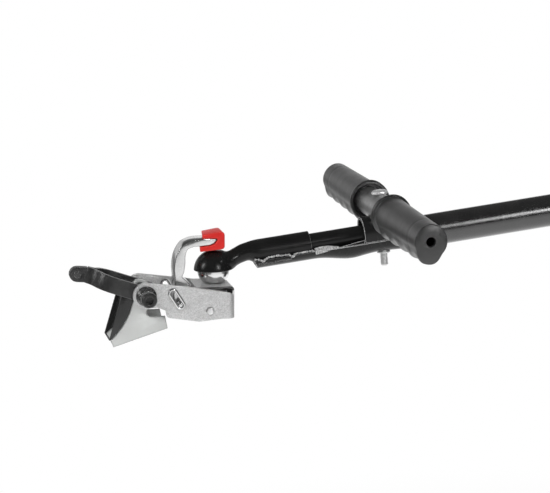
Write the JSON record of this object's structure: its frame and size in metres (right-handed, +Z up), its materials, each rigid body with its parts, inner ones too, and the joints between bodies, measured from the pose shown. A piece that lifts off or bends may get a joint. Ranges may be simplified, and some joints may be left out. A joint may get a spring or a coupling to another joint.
{
  "type": "bicycle cargo trailer",
  "caption": "Two-wheeled bicycle cargo trailer with an open ribbed tub on a tube frame, a gooseneck drawbar with a T-handle, and a sprung ball hitch that clamps to the seat post.",
  "frame": {"origin": "on the ground, under the middle of the trailer's box", "axes": "+X to the rear, along the length; +Z up; -Y to the left side in the direction of travel"},
  "size_m": [1.5816, 0.6004, 0.8238],
  "materials": {
    "galvanised": "hot-dip galvanised, grainy",
    "zinc": "zinc plated",
    "chrome": "polished",
    "black_steel": "black oxide, satin",
    "black_gloss": "black gloss powder coat",
    "handle_grey": "dark grey satin",
    "red_plastic": "red, slightly glossy",
    "rubber": "matt black",
    "tyre": "matt black",
    "black_plastic": "moulded black",
    "aluminium": "brushed",
    "reflector": "red, clear"
  },
  "bodies": {
    "chassis": {"receiver_tube": "black_gloss", "frame_tube": "black_gloss", "rear_cross_tube": "black_gloss", "axle_tube": "black_gloss", "axle_bush_left": "black_plastic", "axle_bush_right": "black_plastic", "rear_reflector_left": "reflector", "rear_reflector_right": "reflector", "tub": "black_plastic", "tub_bolt_1": "zinc", "tub_bolt_2": "zinc", "tub_bolt_3": "zinc", "tub_bolt_4": "zinc", "stand_bracket": "black_gloss", "stand_rod": "zinc", "axle_left": "zinc", "axle_right": "zinc"},
    "wheel_left": {"tyre_left": "tyre", "rim_left": "aluminium", "hub_and_spokes_left": "aluminium", "inner_bearing_left": "zinc", "outer_bearing_left": "zinc"},
    "wheel_right": {"tyre_right": "tyre", "rim_right": "aluminium", "hub_and_spokes_right": "aluminium", "inner_bearing_right": "zinc", "outer_bearing_right": "zinc"},
    "push_button_left": {"button_left": "red_plastic"},
    "push_button_right": {"button_right": "red_plastic"},
    "stand": {"stand_leg": "black_gloss", "stand_shoe": "rubber"},
    "knob": {"clamp_knob": "black_plastic"},
    "drawbar": {"drawbar_tube": "black_gloss", "support_tube": "black_gloss", "coupler": "black_gloss", "handle_saddle": "black_gloss", "handle_tube": "handle_grey", "grip_left": "rubber", "grip_right": "rubber", "handle_bolt": "zinc", "rivet_nut": "zinc"},
    "ball": {"ball_stud": "chrome", "ball_nut": "zinc"},
    "bracket": {"hitch_channel": "galvanised", "brace_plate": "zinc", "clamp_band_left": "black_steel", "clamp_band_right": "black_steel", "ear_rivet": "black_steel", "post_pad": "black_plastic", "cross_bolt": "black_steel", "cross_bolt_collar": "black_steel", "cross_bolt_nut": "zinc", "spring_pin": "zinc", "slot_liner_left": "chrome", "slot_liner_right": "chrome", "bail_spring": "zinc"},
    "bail_foot": {"bail_pin": "chrome"},
    "bail": {"bail": "chrome", "bail_cap": "red_plastic"}
  },
  "joints": [
    {"name": "drawbar_slide", "type": "slide", "parent": "chassis", "child": "drawbar", "axis": [-1, 0, 0], "range_m": [0, 0.12]},
    {"name": "knob_turn", "type": "hinge", "parent": "chassis", "child": "knob", "pos_m": [0.12185, 0, 0.16724], "axis": [0, 0, 1], "range_deg": [0, 360]},
    {"name": "ball_pitch", "type": "hinge", "parent": "drawbar", "child": "ball", "pos_m": [-0.67815, 0, 0.755], "axis": [0, 1, 0], "range_deg": [-20, 20]},
    {"name": "bracket_yaw", "type": "hinge", "parent": "ball", "child": "bracket", "pos_m": [-0.67815, 0, 0.755], "axis": [0, 0, 1], "range_deg": [-80, 80]},
    {"name": "bail_lift", "type": "slide", "parent": "bracket", "child": "bail_foot", "axis": [-0.5299, 0, 0.848], "range_m": [0, 0.01], "stiffness_N_per_m": 800, "springref_m": -0.01},
    {"name": "bail_swing", "type": "hinge", "parent": "bail_foot", "child": "bail", "pos_m": [-0.70764, 0, 0.73284], "axis": [0, -1, 0], "range_deg": [0, 38], "stiffness_Nm_per_rad": 0.3, "springref_deg": -17.19},
    {"name": "wheel_left_spin", "type": "hinge", "parent": "chassis", "child": "wheel_left", "pos_m": [0.45185, -0.262, 0.19854], "axis": [0, 1, 0], "continuous": true},
    {"name": "wheel_right_spin", "type": "hinge", "parent": "chassis", "child": "wheel_right", "pos_m": [0.45185, 0.262, 0.19854], "axis": [0, 1, 0], "continuous": true},
    {"name": "button_left_press", "type": "slide", "parent": "chassis", "child": "push_button_left", "axis": [0, 1, 0], "range_m": [0, 0.003], "stiffness_N_per_m": 300, "springref_m": -0.003},
    {"name": "button_right_press", "type": "slide", "parent": "chassis", "child": "push_button_right", "axis": [0, -1, 0], "range_m": [0, 0.003], "stiffness_N_per_m": 300, "springref_m": -0.003},
    {"name": "stand_fold", "type": "hinge", "parent": "chassis", "child": "stand", "pos_m": [0.15685, 0, 0.16924], "axis": [0, -1, 0], "range_deg": [0, 85]}
  ]
}
